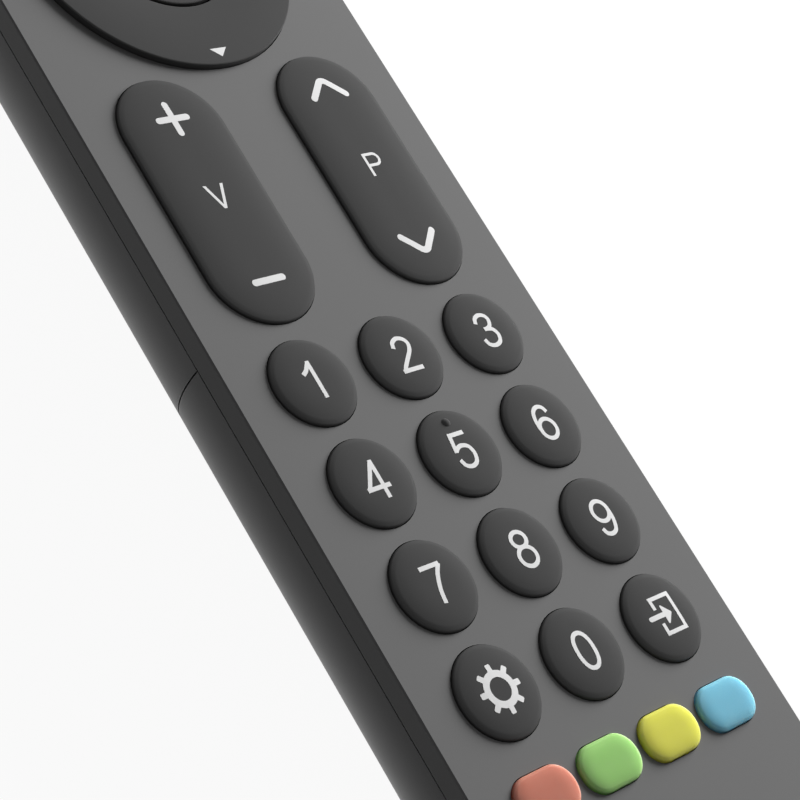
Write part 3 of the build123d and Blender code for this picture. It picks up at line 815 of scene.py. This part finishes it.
def touch_dot():
    """Small dome past the digit on the middle key, to find it by touch."""
    low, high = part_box("key_5")
    x, y = centre_of("key_5")
    ball = (DOT_RADIUS**2 + DOT_RISE**2) / (2 * DOT_RISE)
    lean = math.asin(DOT_RADIUS / ball)
    foot = crown_level(high.z, KEY_TOP, (high.y - low.y) / 2 - DOT_PLACE.length)
    levels = [(0, foot - DOT_RADIUS / 3)]
    for i in range(ARC_STEPS):
        angle = lean * (1 - i / ARC_STEPS)
        rise = ball * (math.cos(angle) - math.cos(lean))
        levels.append((DOT_RADIUS - ball * math.sin(angle), foot + rise))
    bm = bmesh.new()
    stack(bm, circle(DOT_RADIUS, ROUND_STEPS // 3), levels, (x + DOT_PLACE.x, y + DOT_PLACE.y))
    add_piece("dot_key_5", bm, "key_5", KEYS)


def board_print():
    """Pairs of carbon pads on the board, one under each plunger."""
    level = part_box("circuit_board")[1].z
    places = [centre_of(name) for name in NODES if name.startswith("key_")] + [centre_of("ok_button")]
    for name in ("volume_rocker", "programme_rocker"):
        low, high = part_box(name)
        x, y = centre_of(name)
        press = (high.y - low.y) / 2 - ROCKER_PRESS
        places += [(x, y + press), (x, y - press)]
    ring_low, ring_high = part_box("nav_ring")
    x, y = centre_of("nav_ring")
    press = (ring_high.x - ring_low.x) / 2 - TAB - RING_PRESS
    places += [(x + press, y), (x - press, y), (x, y + press), (x, y - press)]
    bottom, top = level - CONTACT_INK, level + CONTACT_INK
    bm = bmesh.new()
    for x, y in places:
        for side in (-1, 1):
            left, right = sorted((x + side * CONTACT_GAP, x + side * CONTACT_HALF))
            block(bm, (left, y - CONTACT_HALF, bottom), (right, y + CONTACT_HALF, top))
    add_piece("board_contacts", bm, "case", CARBON)


# ---------- stage ----------


def backdrop_share(nodes, links):
    """1 for rays that see the background, straight, in gloss or through glass, else 0."""
    path = nodes.new("ShaderNodeLightPath")
    total = path.outputs["Is Camera Ray"]
    for label in ("Is Glossy Ray", "Is Transmission Ray"):
        add = nodes.new("ShaderNodeMath")
        add.use_clamp = True
        links.new(total, add.inputs[0])
        links.new(path.outputs[label], add.inputs[1])
        total = add.outputs["Value"]
    return total


def floor():
    """Large pale floor that keeps the object's shadow."""
    radius, drop, glow_share = 6.0, 0.05 * MM, 0.94
    lit, seen = (0.2, 0.2, 0.2, 1), (0.95, 0.95, 0.95, 1)  # tone for light on the object, and to look at
    bm = bmesh.new()
    bmesh.ops.create_circle(bm, cap_ends=True, radius=radius, segments=64)
    mesh = bpy.data.meshes.new("floor")
    bm.to_mesh(mesh)
    bm.free()
    material = bpy.data.materials.new("floor_white")
    material.use_nodes = True
    nodes, links = material.node_tree.nodes, material.node_tree.links
    shader = nodes["Principled BSDF"]
    shader.inputs["Roughness"].default_value = 0.9
    shader.inputs["Specular IOR Level"].default_value = 0.0
    glow = nodes.new("ShaderNodeEmission")
    share = nodes.new("ShaderNodeMath")
    share.operation = "MULTIPLY"
    share.inputs[1].default_value = glow_share
    mix = nodes.new("ShaderNodeMixShader")
    backdrop = backdrop_share(nodes, links)
    links.new(blend(material.node_tree, backdrop, lit, seen), shader.inputs["Base Color"])
    links.new(backdrop, share.inputs[0])
    links.new(share.outputs["Value"], mix.inputs["Fac"])
    links.new(shader.outputs["BSDF"], mix.inputs[1])
    links.new(glow.outputs["Emission"], mix.inputs[2])
    links.new(mix.outputs["Shader"], nodes["Material Output"].inputs["Surface"])
    mesh.materials.append(material)
    obj = bpy.data.objects.new("floor", mesh)
    obj.location.z = -drop
    bpy.context.scene.collection.objects.link(obj)


def studio_world():
    """Surroundings that are white to look at and give a low, even light."""
    light, white = 0.13, 0.95
    data = bpy.data.worlds.new("studio")
    data.use_nodes = True
    nodes, links = data.node_tree.nodes, data.node_tree.links
    background = nodes["Background"]
    background.inputs["Color"].default_value = (1, 1, 1, 1)
    strength = spread(data.node_tree, backdrop_share(nodes, links), light, white)
    links.new(strength, background.inputs["Strength"])
    bpy.context.scene.world = data


def soft_lamp(name, place, aim, size, power):
    """Round soft lamp that lights the remote but isn't seen in its gloss."""
    data = bpy.data.lights.new(name, "AREA")
    data.shape = "DISK"
    data.size = size
    data.energy = power
    lamp = bpy.data.objects.new(name, data)
    lamp.location = place
    lamp.rotation_euler = (Vector(aim) - Vector(place)).to_track_quat("-Z", "Y").to_euler()
    lamp.visible_glossy = False
    bpy.context.scene.collection.objects.link(lamp)


def photo_camera():
    """Camera at the photograph's angle."""
    data = bpy.data.cameras.new("camera")
    data.lens = CAMERA_LENS
    data.sensor_width = CAMERA_SENSOR
    data.clip_start = 0.01
    view = CAMERA_VIEW.normalized()
    right = (CAMERA_RIGHT - view * CAMERA_RIGHT.dot(view)).normalized()
    turn = Matrix((right, right.cross(view), -view)).transposed().to_4x4()
    obj = bpy.data.objects.new("camera", data)
    obj.matrix_world = Matrix.Translation(CAMERA_PLACE) @ turn
    bpy.context.scene.collection.objects.link(obj)
    bpy.context.scene.camera = obj


dress_frame()
for number in range(10):
    round_key(f"key_{number}", digit_shapes(str(number)))
round_key("key_settings", cog_shapes())
round_key("key_input", input_shapes())
round_key("key_power", power_shapes())
for name in COLOURS:
    colour_key(name)
rocker("volume_rocker", volume_shapes())
rocker("programme_rocker", programme_shapes())
nav_ring()
centre_key()
touch_dot()
board_print()
floor()
studio_world()
soft_lamp("key_lamp", place=(0.5, 0.13, 0.21), aim=(0, 0, 0.01), size=0.3, power=8.6)
photo_camera()
bpy.context.scene.view_settings.view_transform = "Standard"
